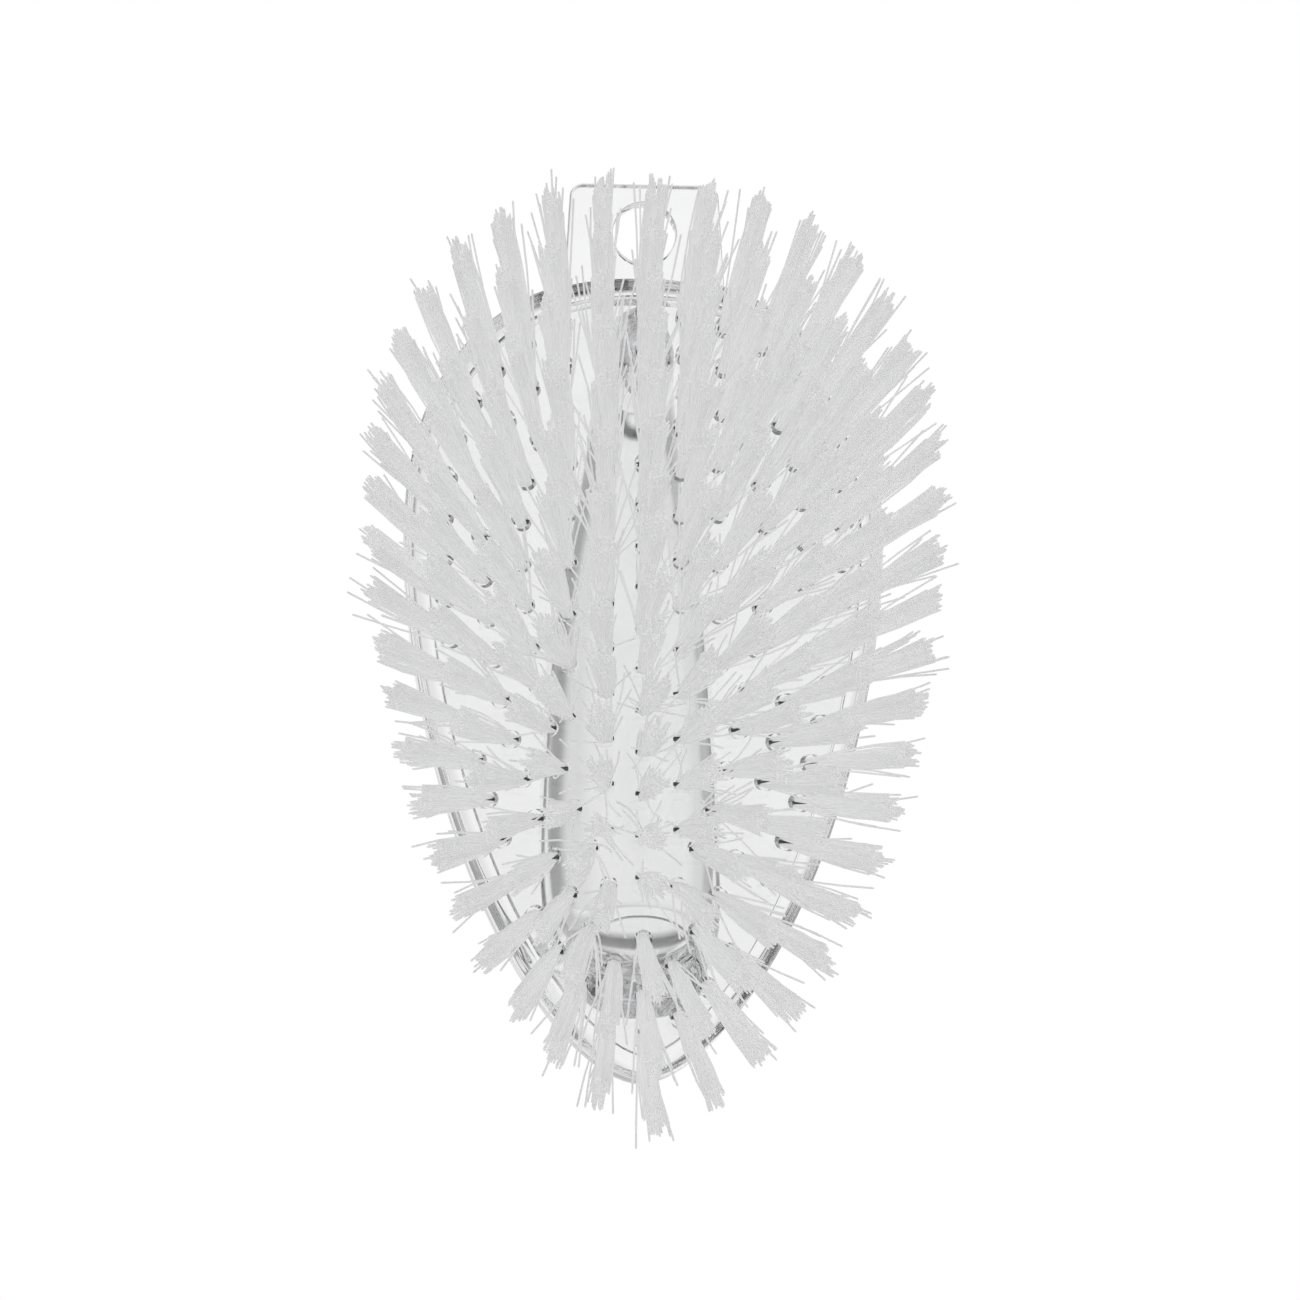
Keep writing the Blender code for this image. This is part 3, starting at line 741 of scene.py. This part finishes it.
def lean_at(point, front_lean):
    """Tangents of a tuft's lean across and along the brush; the one across falls towards the rear end."""
    y = point.y - MIDDLE_Y
    side_lean = SIDE_LEAN - SIDE_LEAN_FALL * y / (REAR_Y - MIDDLE_Y)
    across = side_lean * point.x / HALF_WIDTH
    if y > 0:
        along = REAR_LEAN * y / (REAR_Y - MIDDLE_Y)
    else:
        along = front_lean * y / (MIDDLE_Y - FRONT_Y)
    return Vector((across, along))


def span_at(points, x):
    """Lowest and highest Y where a line along Y crosses a convex outline."""
    crossings = []
    for a, b in neighbour_pairs(points):
        start, end = points[a], points[b]
        if (start.x - x) * (end.x - x) <= 0 and start.x != end.x:
            crossings.append(start.lerp(end, (x - start.x) / (end.x - start.x)).y)
    return min(crossings), max(crossings)


def ring_tufts(ring):
    """Tufts of a ring; the inner one starts half a pitch on, with one tuft at its front end."""
    walk = inset_walk(OUTER_RING_INSET + RING_PITCH * ring)
    length = walk[1][-1]
    if ring < len(RING_NAMES) - 1:
        count = round(length / RING_TUFT_PITCH)
        return points_at(walk, [length * tuft / count for tuft in range(count)])
    count = round(length / INNER_RING_TUFT_PITCH)
    return points_at(walk, [0.0] + [length * (tuft + 0.5) / count for tuft in range(1, count - 1)])


def tuft_layout():
    """Groups of tufts: name, the solids they stand for, and each tuft's place and lean."""
    groups = []
    nodes = list(frame["nodes"])
    for ring, name in enumerate(RING_NAMES):
        solids = [node for node in nodes if node.startswith(name)]
        tufts = [(point, lean_at(point, RING_FRONT_LEAN)) for point in ring_tufts(ring)]
        groups.append((name, solids, tufts))
    inner_inset = OUTER_RING_INSET + RING_PITCH * (len(RING_NAMES) - 1)
    room = inset_loop(inner_inset + COLUMN_ROOM, OUTLINE_POINTS)
    front_room = inset_loop(inner_inset + SIDE_COLUMN_FRONT_ROOM, OUTLINE_POINTS)
    last = int(max(point.x for point in room) / COLUMN_PITCH)
    tufts = []
    for number in range(-last, last + 1):
        x = COLUMN_PITCH * number
        pitch = COLUMN_TUFT_PITCHES[abs(number)]
        front_y, rear_y = span_at(room, x)
        if number:
            front_y = span_at(front_room, x)[0]
        gaps = max(1, round((rear_y - front_y) / pitch))
        places = [Vector((x, front_y + (rear_y - front_y) * tuft / gaps)) for tuft in range(gaps + 1)]
        tufts += [(point, lean_at(point, COLUMN_FRONT_LEAN)) for point in places]
    groups.append(("columns", [node for node in nodes if "column" in node], tufts))
    return groups


def make_plate(material, tufts):
    """The clear bristle plate with a blind hole for each tuft, sunk along the tuft's lean."""
    arc = quarter_arc(PLATE_EDGE_ROUND, PLATE_EDGE_ROUND, EDGE_STEPS)
    profile = [(PLATE_INSET + PLATE_EDGE_ROUND + FLAT_MARGIN, FACE_Z)]
    profile += [(PLATE_INSET + inwards, FACE_Z + PLATE_EDGE_ROUND - up) for inwards, up in reversed(arc)]
    profile.append((PLATE_INSET, PLATE_TOP_Z))
    vertices, faces = loft([lifted(inset_loop(inset, OUTLINE_POINTS), z) for inset, z in profile])
    faces = faces[1:]

    # The face between the plate's outline and the mouths of the holes
    flat = [Vector(vertex[:2]) for vertex in vertices[:OUTLINE_POINTS]]
    loops = [list(range(OUTLINE_POINTS))]
    for point, _ in tufts:
        loops.append(list(range(len(flat), len(flat) + HOLE_SIDES)))
        flat += circle(point.x, point.y, HOLE_RADIUS, HOLE_SIDES)
    found = delaunay_2d_cdt([point.copy() for point in flat], [], loops, INSIDE_ONLY, SAME_POINT)
    points, triangles, sources = found[0], found[2], found[3]
    if len(points) != len(flat):
        raise ValueError("two tuft holes meet on the bristle plate")
    owner = {index: number for number, loop in enumerate(loops) for index in loop}
    shift = len(vertices) - OUTLINE_POINTS
    at = [index if index < OUTLINE_POINTS else index + shift for index in range(len(flat))]
    vertices += lifted(flat[OUTLINE_POINTS:], FACE_Z)
    for triangle in triangles:
        corners = [sources[corner][0] for corner in triangle]
        holes = {owner[corner] for corner in corners}
        if len(holes) > 1 or 0 in holes:
            faces.append(tuple(at[corner] for corner in reversed(corners)))

    # The walls and bottoms of the holes
    for (point, lean), loop in zip(tufts, loops[1:]):
        start = len(vertices)
        bottom = point - lean * HOLE_DEPTH
        vertices += lifted(circle(bottom.x, bottom.y, HOLE_RADIUS, HOLE_SIDES), FACE_Z + HOLE_DEPTH)
        faces += [(at[loop[b]], at[loop[a]], start + a, start + b) for a, b in neighbour_pairs(loop)]
        faces.append(tuple(reversed(range(start, start + HOLE_SIDES))))
    plate = make_object("clear_bristle_plate", vertices, faces)
    finish_piece(plate, material, ["bristle_plate"])


def tuft_points(name, tufts):
    """A cloud of the tufts' mouths with their lean as an attribute."""
    mesh = bpy.data.meshes.new(name)
    mesh.from_pydata([(point.x, point.y, FACE_Z) for point, _ in tufts], [], [])
    lean = mesh.attributes.new("lean", "FLOAT_VECTOR", "POINT")
    for item, (_, slope) in zip(lean.data, tufts):
        item.vector = (slope.x, slope.y, -1.0)
    spin = mesh.attributes.new("spin", "FLOAT", "POINT")
    for number, item in enumerate(spin.data):
        item.value = TUFT_SPIN * number
    cloud = bpy.data.objects.new(name, mesh)
    bpy.context.collection.objects.link(cloud)
    return cloud


def new_group(name, values):
    """A geometry tree with a geometry input and named numbers."""
    tree = bpy.data.node_groups.new(name, "GeometryNodeTree")
    tree.interface.new_socket("Geometry", in_out="INPUT", socket_type="NodeSocketGeometry")
    for key, value in values.items():
        kind = "NodeSocketInt" if isinstance(value, int) else "NodeSocketFloat"
        tree.interface.new_socket(key, in_out="INPUT", socket_type=kind).default_value = value
    tree.interface.new_socket("Geometry", in_out="OUTPUT", socket_type="NodeSocketGeometry")
    nodes = Nodes(tree)
    entry = tree.nodes.new("NodeGroupInput")
    return tree, nodes, {socket.name: Value(nodes, socket) for socket in entry.outputs if socket.name}


def end_group(nodes, geometry, material):
    """Ends a tree in real geometry of one material."""
    real = nodes.add("GeometryNodeRealizeInstances", {}, {0: geometry})
    painted = nodes.add("GeometryNodeSetMaterial", {}, {"Geometry": real, "Material": material})
    output = nodes.tree.nodes.new("NodeGroupOutput")
    nodes.tree.links.new(painted.socket, output.inputs[0])


def random_value(nodes, low, high, seed, shared=None):
    """A seeded random number for every point, or one for all points with the same shared number."""
    node = nodes.tree.nodes.new("FunctionNodeRandomValue")
    node.data_type = "FLOAT"
    floats = [socket for socket in node.inputs if socket.type == "VALUE"]
    floats[0].default_value, floats[1].default_value = low, high
    seeds = [socket for socket in node.inputs if socket.name == "Seed"]
    seeds[0].default_value = seed
    if shared is not None:
        nodes.tree.links.new(shared.socket, node.inputs["ID"])
    outputs = [socket for socket in node.outputs if socket.type == "VALUE"]
    return Value(nodes, outputs[0])


def stored(nodes, geometry, name, value, kind="FLOAT"):
    return nodes.add("GeometryNodeStoreNamedAttribute", {"data_type": kind, "domain": "POINT"}, {
        "Geometry": geometry, "Name": name, "Value": value})


def named(nodes, name, kind="FLOAT"):
    return nodes.add("GeometryNodeInputNamedAttribute", {"data_type": kind}, {"Name": name})


def named_vector(nodes, name):
    return named(nodes, name, "FLOAT_VECTOR")


def spiral_point(nodes, number, total, start):
    """Place of a numbered point in a round field of evenly spread points, as shares of the field's radius."""
    turn = number * GOLDEN_ANGLE + start
    reach = ((number + 0.5) / total) ** 0.5
    cosine = nodes.add("ShaderNodeMath", {"operation": "COSINE"}, {0: turn})
    sine = nodes.add("ShaderNodeMath", {"operation": "SINE"}, {0: turn})
    return cosine * reach, sine * reach


def place_in_tuft(nodes, given, number):
    """A filament's place in its tuft, as shares of the tuft's spread, and the number of its strand."""
    strand = nodes.add("ShaderNodeMath", {"operation": "MODULO"}, {0: number, 1: given["Strands"]})
    place_in_strand = nodes.add("ShaderNodeMath", {"operation": "FLOOR"}, {0: number / given["Strands"]})
    strand_x, strand_y = spiral_point(nodes, strand, given["Strands"], named(nodes, "spin"))
    own_x, own_y = spiral_point(nodes, place_in_strand, given["Filaments"] / given["Strands"], strand)
    away_x = strand_x * STRAND_SHARE + own_x * given["Strand Width"]
    away_y = strand_y * STRAND_SHARE + own_y * given["Strand Width"]
    return away_x, away_y, strand + named(nodes, "spin") * STRAND_NUMBER_STEP


def filament_root(nodes, given, mouth, away_x, away_y):
    """Where a filament starts: at the hole's bottom, on its own side of the wire anchor."""
    side = nodes.add("ShaderNodeMath", {"operation": "SIGN"}, {0: away_y})
    beside = side * given["Root Gap"] + away_y * given["Root Depth"]
    root = nodes.vector("ADD", mouth, nodes.combine(away_x * given["Root Width"], beside, 0.0))
    return nodes.vector("SUBTRACT", root, nodes.scaled(named_vector(nodes, "lean"), given["Hole Depth"]))


def filament_tip(nodes, given, mouth, away_x, away_y, strand):
    """Where a filament ends: fanned out, trimmed much as its strand is, and a few tips astray."""
    stray = random_value(nodes, 0.0, 1.0, STRAY_SEED) < given["Stray Share"]
    loose = given["Tip Jitter"] + stray * given["Stray Reach"]
    jitter_x, jitter_y = [random_value(nodes, -1.0, 1.0, seed) * loose for seed in JITTER_SEEDS]
    own_trim = random_value(nodes, 0.0, 1.0, TRIM_SEEDS[0]) ** 2.0
    strand_trim = random_value(nodes, 0.0, 1.0, TRIM_SEEDS[1], strand) ** 2.0
    ragged = own_trim * (1.0 - STRAND_TRIM_SHARE) + strand_trim * STRAND_TRIM_SHARE
    reach = given["Face Height"] - ragged * given["Ragged"]
    tip = nodes.vector("ADD", mouth, nodes.scaled(named_vector(nodes, "lean"), reach))
    fan = nodes.combine(away_x * given["Tip Spread Across"], away_y * given["Tip Spread Along"], 0.0)
    tip = nodes.vector("ADD", tip, fan)
    return nodes.vector("ADD", tip, nodes.combine(jitter_x, jitter_y, 0.0))


def filament_shaft(nodes):
    """One upright filament of unit size; each of its points knows how far along it is."""
    shaft = nodes.add("GeometryNodeMeshCylinder", {}, {
        "Vertices": FILAMENT_SIDES, "Side Segments": FILAMENT_STEPS, "Radius": 1.0, "Depth": 1.0})
    shaft = nodes.add("GeometryNodeTransform", {}, {"Geometry": shaft, "Translation": (0.0, 0.0, 0.5)})
    height = nodes.split(nodes.add("GeometryNodeInputPosition"))[2]
    return stored(nodes, shaft, "along", height)


def bowed(nodes, bristles):
    """Bends the filaments sideways, most at half their length, and keeps them above the ground."""
    along = named(nodes, "along")
    bend = along * (1.0 - along) * 4.0
    sideways = nodes.scaled(named_vector(nodes, "bow"), bend)
    x, y, z = nodes.split(nodes.vector("ADD", nodes.add("GeometryNodeInputPosition"), sideways))
    grounded = nodes.combine(x, y, z.at_least(GROUND_Z))
    return nodes.add("GeometryNodeSetPosition", {}, {"Geometry": bristles, "Position": grounded})


def tuft_tree(material):
    """The filaments of every tuft, each a shaft from its root to its tip."""
    tree, nodes, given = new_group("tuft_filaments", {
        "Filaments": FILAMENTS_PER_TUFT, "Strands": STRANDS_PER_TUFT, "Strand Width": STRAND_WIDTH,
        "Radius": FILAMENT_RADIUS, "Root Width": BUNDLE_ROOT_WIDTH,
        "Root Gap": BUNDLE_ROOT_GAP, "Root Depth": BUNDLE_ROOT_DEPTH,
        "Tip Spread Across": TIP_SPREADS_ACROSS[0], "Tip Spread Along": TIP_SPREAD_ALONG,
        "Tip Jitter": TIP_JITTERS[0], "Stray Share": STRAY_SHARE,
        "Stray Reach": STRAY_REACHES[0], "Ragged": RAGGED_HEIGHT, "Bow": BOW, "Hole Depth": HOLE_DEPTH,
        "Face Height": FACE_Z - GROUND_Z})
    points = nodes.add("GeometryNodeDuplicateElements", {"domain": "POINT"},
                       {"Geometry": given["Geometry"], "Amount": given["Filaments"]})
    number = Value(nodes, points.socket.node.outputs["Duplicate Index"])
    away_x, away_y, strand = place_in_tuft(nodes, given, number)
    mouth = nodes.add("GeometryNodeInputPosition")
    root = filament_root(nodes, given, mouth, away_x, away_y)
    line = nodes.vector("SUBTRACT", filament_tip(nodes, given, mouth, away_x, away_y, strand), root)
    length = nodes.add("ShaderNodeVectorMath", {"operation": "LENGTH"}, {0: line}, "Value")
    bow_x, bow_y = [random_value(nodes, -1.0, 1.0, seed) for seed in BOW_SEEDS]
    bow = nodes.scaled(nodes.combine(bow_x, bow_y, 0.0), given["Bow"])
    own_tone = random_value(nodes, 0.0, 1.0, TONE_SEEDS[0])
    strand_tone = random_value(nodes, 0.0, 1.0, TONE_SEEDS[1], strand)
    tone = own_tone * (1.0 - STRAND_TONE_SHARE) + strand_tone * STRAND_TONE_SHARE

    points = stored(nodes, points, "line", line, kind="FLOAT_VECTOR")
    points = stored(nodes, points, "bow", bow, kind="FLOAT_VECTOR")
    points = stored(nodes, points, "tone", tone)
    points = stored(nodes, points, "length", length)
    points = nodes.add("GeometryNodeSetPosition", {}, {"Geometry": points, "Position": root})
    turned = nodes.add("FunctionNodeAlignRotationToVector", {"axis": "Z"}, {
        "Vector": named_vector(nodes, "line")})
    scale = nodes.combine(given["Radius"], given["Radius"], named(nodes, "length"))
    bristles = nodes.add("GeometryNodeInstanceOnPoints", {}, {
        "Points": points, "Instance": filament_shaft(nodes), "Rotation": turned, "Scale": scale})
    bristles = bowed(nodes, nodes.add("GeometryNodeRealizeInstances", {}, {0: bristles}))
    for name in ("line", "bow", "length", "lean", "spin"):
        bristles = nodes.add("GeometryNodeRemoveAttribute", {}, {"Geometry": bristles, "Name": name})
    end_group(nodes, bristles, material)
    return tree


def anchor_tree(material):
    """One flat wire anchor across the bottom of each hole."""
    tree, nodes, given = new_group("wire_anchors", {
        "Width": ANCHOR_WIDTH, "Thickness": ANCHOR_THICKNESS, "Height": ANCHOR_HEIGHT,
        "Hole Depth": HOLE_DEPTH})
    sunk = nodes.scaled(named_vector(nodes, "lean"), given["Height"] / 2.0 - given["Hole Depth"])
    points = nodes.add("GeometryNodeSetPosition", {}, {"Geometry": given["Geometry"], "Offset": sunk})
    size = nodes.combine(given["Width"], given["Thickness"], given["Height"])
    wire = nodes.add("GeometryNodeMeshCube", {}, {"Size": (1.0, 1.0, 1.0)})
    anchors = nodes.add("GeometryNodeInstanceOnPoints", {}, {
        "Points": points, "Instance": wire, "Scale": size})
    for name in ("lean", "spin"):
        anchors = nodes.add("GeometryNodeRemoveAttribute", {}, {"Geometry": anchors, "Name": name})
    end_group(nodes, anchors, material)
    return tree


def grown(cloud, tree, material, values=None):
    """A cloud of points with a tree grown on it, as a plain mesh."""
    modifier = cloud.modifiers.new(tree.name, "NODES")
    modifier.node_group = tree
    for item in tree.interface.items_tree:
        if item.in_out == "INPUT" and item.name in (values or {}):
            modifier[item.identifier] = values[item.name]
    depsgraph = bpy.context.evaluated_depsgraph_get()
    mesh = bpy.data.meshes.new_from_object(cloud.evaluated_get(depsgraph), depsgraph=depsgraph)
    mesh.name = cloud.name
    cloud.modifiers.clear()
    cloud.data = mesh
    mesh.materials.clear()
    mesh.materials.append(material)
    return cloud


def make_tufts(groups):
    filament, wire = filament_material(), anchor_material()
    bristle_tree, wire_tree = tuft_tree(filament), anchor_tree(wire)
    for number, (name, solids, tufts) in enumerate(groups):
        cloud = tuft_points(f"{name}_bristles", tufts)
        bristles = grown(cloud, bristle_tree, filament, {
            "Tip Spread Across": TIP_SPREADS_ACROSS[number], "Tip Jitter": TIP_JITTERS[number],
            "Stray Reach": STRAY_REACHES[number]})
        bristles.data.shade_smooth()
        bristles.data.set_sharp_from_angle(angle=FILAMENT_SHARP_ANGLE)
        bristles.visible_diffuse = False
        finish_piece(bristles, filament, solids)
    every = [tuft for _, _, tufts in groups for tuft in tufts]
    anchors = grown(tuft_points("tuft_anchors", every), wire_tree, wire)
    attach(anchors, BODY)


def make_floor():
    """A pale floor that shows from above only."""
    half = FLOOR_HALF_SIZE
    corners = lifted([(-half, -half), (half, -half), (half, half), (-half, half)], GROUND_Z)
    mesh = bpy.data.meshes.new("floor")
    mesh.from_pydata(corners, [], [(0, 1, 2, 3)])
    floor = bpy.data.objects.new("floor", mesh)
    bpy.context.collection.objects.link(floor)
    material, nodes = new_material("pale_floor")
    pale = nodes.add("ShaderNodeBsdfDiffuse", {}, {"Color": FLOOR_TONE})
    below = nodes.add("ShaderNodeNewGeometry", output="Backfacing")
    shadow = nodes.add("ShaderNodeLightPath", output="Is Shadow Ray")
    bounce = nodes.add("ShaderNodeLightPath", output="Is Diffuse Ray")
    unseen = below.at_least(shadow).at_least(bounce)
    clear = nodes.add("ShaderNodeBsdfTransparent")
    shader_output(nodes, nodes.add("ShaderNodeMixShader", {}, {0: unseen, 1: pale, 2: clear}))
    floor.data.materials.append(material)


def fading(nodes, value, start, end, before, after):
    """Light that changes smoothly from one level to another while a value goes from a start to an end."""
    return nodes.add("ShaderNodeMapRange", {"interpolation_type": "SMOOTHSTEP"}, {
        "Value": value, "From Min": start, "From Max": end, "To Min": before, "To Max": after})


def make_world():
    """A white surround with grey cards at its sides and ends in what the plastic shows."""
    world = bpy.data.worlds.new("studio")
    bpy.context.scene.world = world
    world.use_nodes = True
    tree = world.node_tree
    tree.nodes.clear()
    nodes = Nodes(tree)
    through = nodes.add("ShaderNodeLightPath", output="Is Transmission Ray")
    direction = nodes.add("ShaderNodeTexCoord", output="Generated")
    across, along, upwards = nodes.split(direction)
    aside = nodes.add("ShaderNodeMath", {"operation": "ABSOLUTE"}, {0: across})
    near_sides, far_sides = [fading(nodes, aside, start, end, 1.0, left) for start, end, left in SIDE_CARDS]
    stops = [(place, (left, left, left, 1)) for place, left in END_CARDS]
    ends = nodes.add("ShaderNodeValToRGB", {"stops": stops}, {0: along * 0.5 + 0.5})
    rise = fading(nodes, upwards, LIGHT_RISE_START, LIGHT_RISE_END, LIGHT_BELOW, LIGHT_ABOVE)
    panel = near_sides * far_sides * ends * rise
    bounced = nodes.add("ShaderNodeLightPath", output="Diffuse Depth")
    seen = through * (bounced < 0.5)
    strength = 1.0 - seen * (1.0 - panel)
    world.cycles.sampling_method = "NONE"
    background = nodes.add("ShaderNodeBackground", {}, {"Color": (1.0, 1.0, 1.0, 1.0), "Strength": strength})
    output = tree.nodes.new("ShaderNodeOutputWorld")
    tree.links.new(background.socket, output.inputs["Surface"])


def make_lamp(name, place, energy):
    lamp = bpy.data.lights.new(name, "AREA")
    lamp.energy = energy
    lamp.size = LAMP_SIZE
    lamp_object = bpy.data.objects.new(name, lamp)
    lamp_object.location = place
    lamp_object.rotation_euler = (Vector((0, 0, FACE_Z)) - Vector(place)).to_track_quat("-Z", "Y").to_euler()
    lamp_object.visible_camera = False
    bpy.context.collection.objects.link(lamp_object)


def make_camera():
    """The photograph's view: from below, a little towards the front and to the right in the picture."""
    forward = Vector((-CAMERA_TILT_ACROSS, CAMERA_TILT_ALONG, 1.0)).normalized()
    right = forward.cross(Vector((0, 1, 0))).normalized()
    up = right.cross(forward)
    target = Vector((0, MIDDLE_Y, FACE_Z))
    place = target - forward * CAMERA_DISTANCE
    off_x = (PICTURE_SIZE / 2 - AIM_PIXEL[0]) / PICTURE_SCALE
    off_y = (AIM_PIXEL[1] - PICTURE_SIZE / 2) / PICTURE_SCALE
    aim = target + right * off_x + up * off_y
    camera = bpy.data.cameras.new("camera")
    camera.sensor_width = SENSOR_WIDTH
    camera.lens = SENSOR_WIDTH * PICTURE_SCALE * CAMERA_DISTANCE / PICTURE_SIZE
    camera.clip_start = CAMERA_NEAR
    camera_object = bpy.data.objects.new("camera", camera)
    camera_object.location = place
    view = (aim - place).normalized()
    side = view.cross(Vector((0, 1, 0))).normalized()
    top = side.cross(view)
    camera_object.rotation_euler = Matrix([[side[row], top[row], -view[row]] for row in range(3)]).to_euler()
    bpy.context.collection.objects.link(camera_object)
    bpy.context.scene.camera = camera_object


def main():
    scene = bpy.context.scene
    scene.view_settings.view_transform = "Standard"
    scene.cycles.max_bounces = MAX_BOUNCES
    scene.cycles.transmission_bounces = TRANSMISSION_BOUNCES
    scene.cycles.glossy_bounces = GLOSSY_BOUNCES
    make_camera()
    groups = tuft_layout()
    make_back(clear_plastic("back_plastic"))
    make_plate(clear_plastic("plate_plastic"), [tuft for _, _, tufts in groups for tuft in tufts])
    make_handle(clear_plastic("handle_plastic"))
    make_tufts(groups)
    make_floor()
    make_world()
    for name, place, energy in LAMPS:
        make_lamp(name, place, energy)


main()
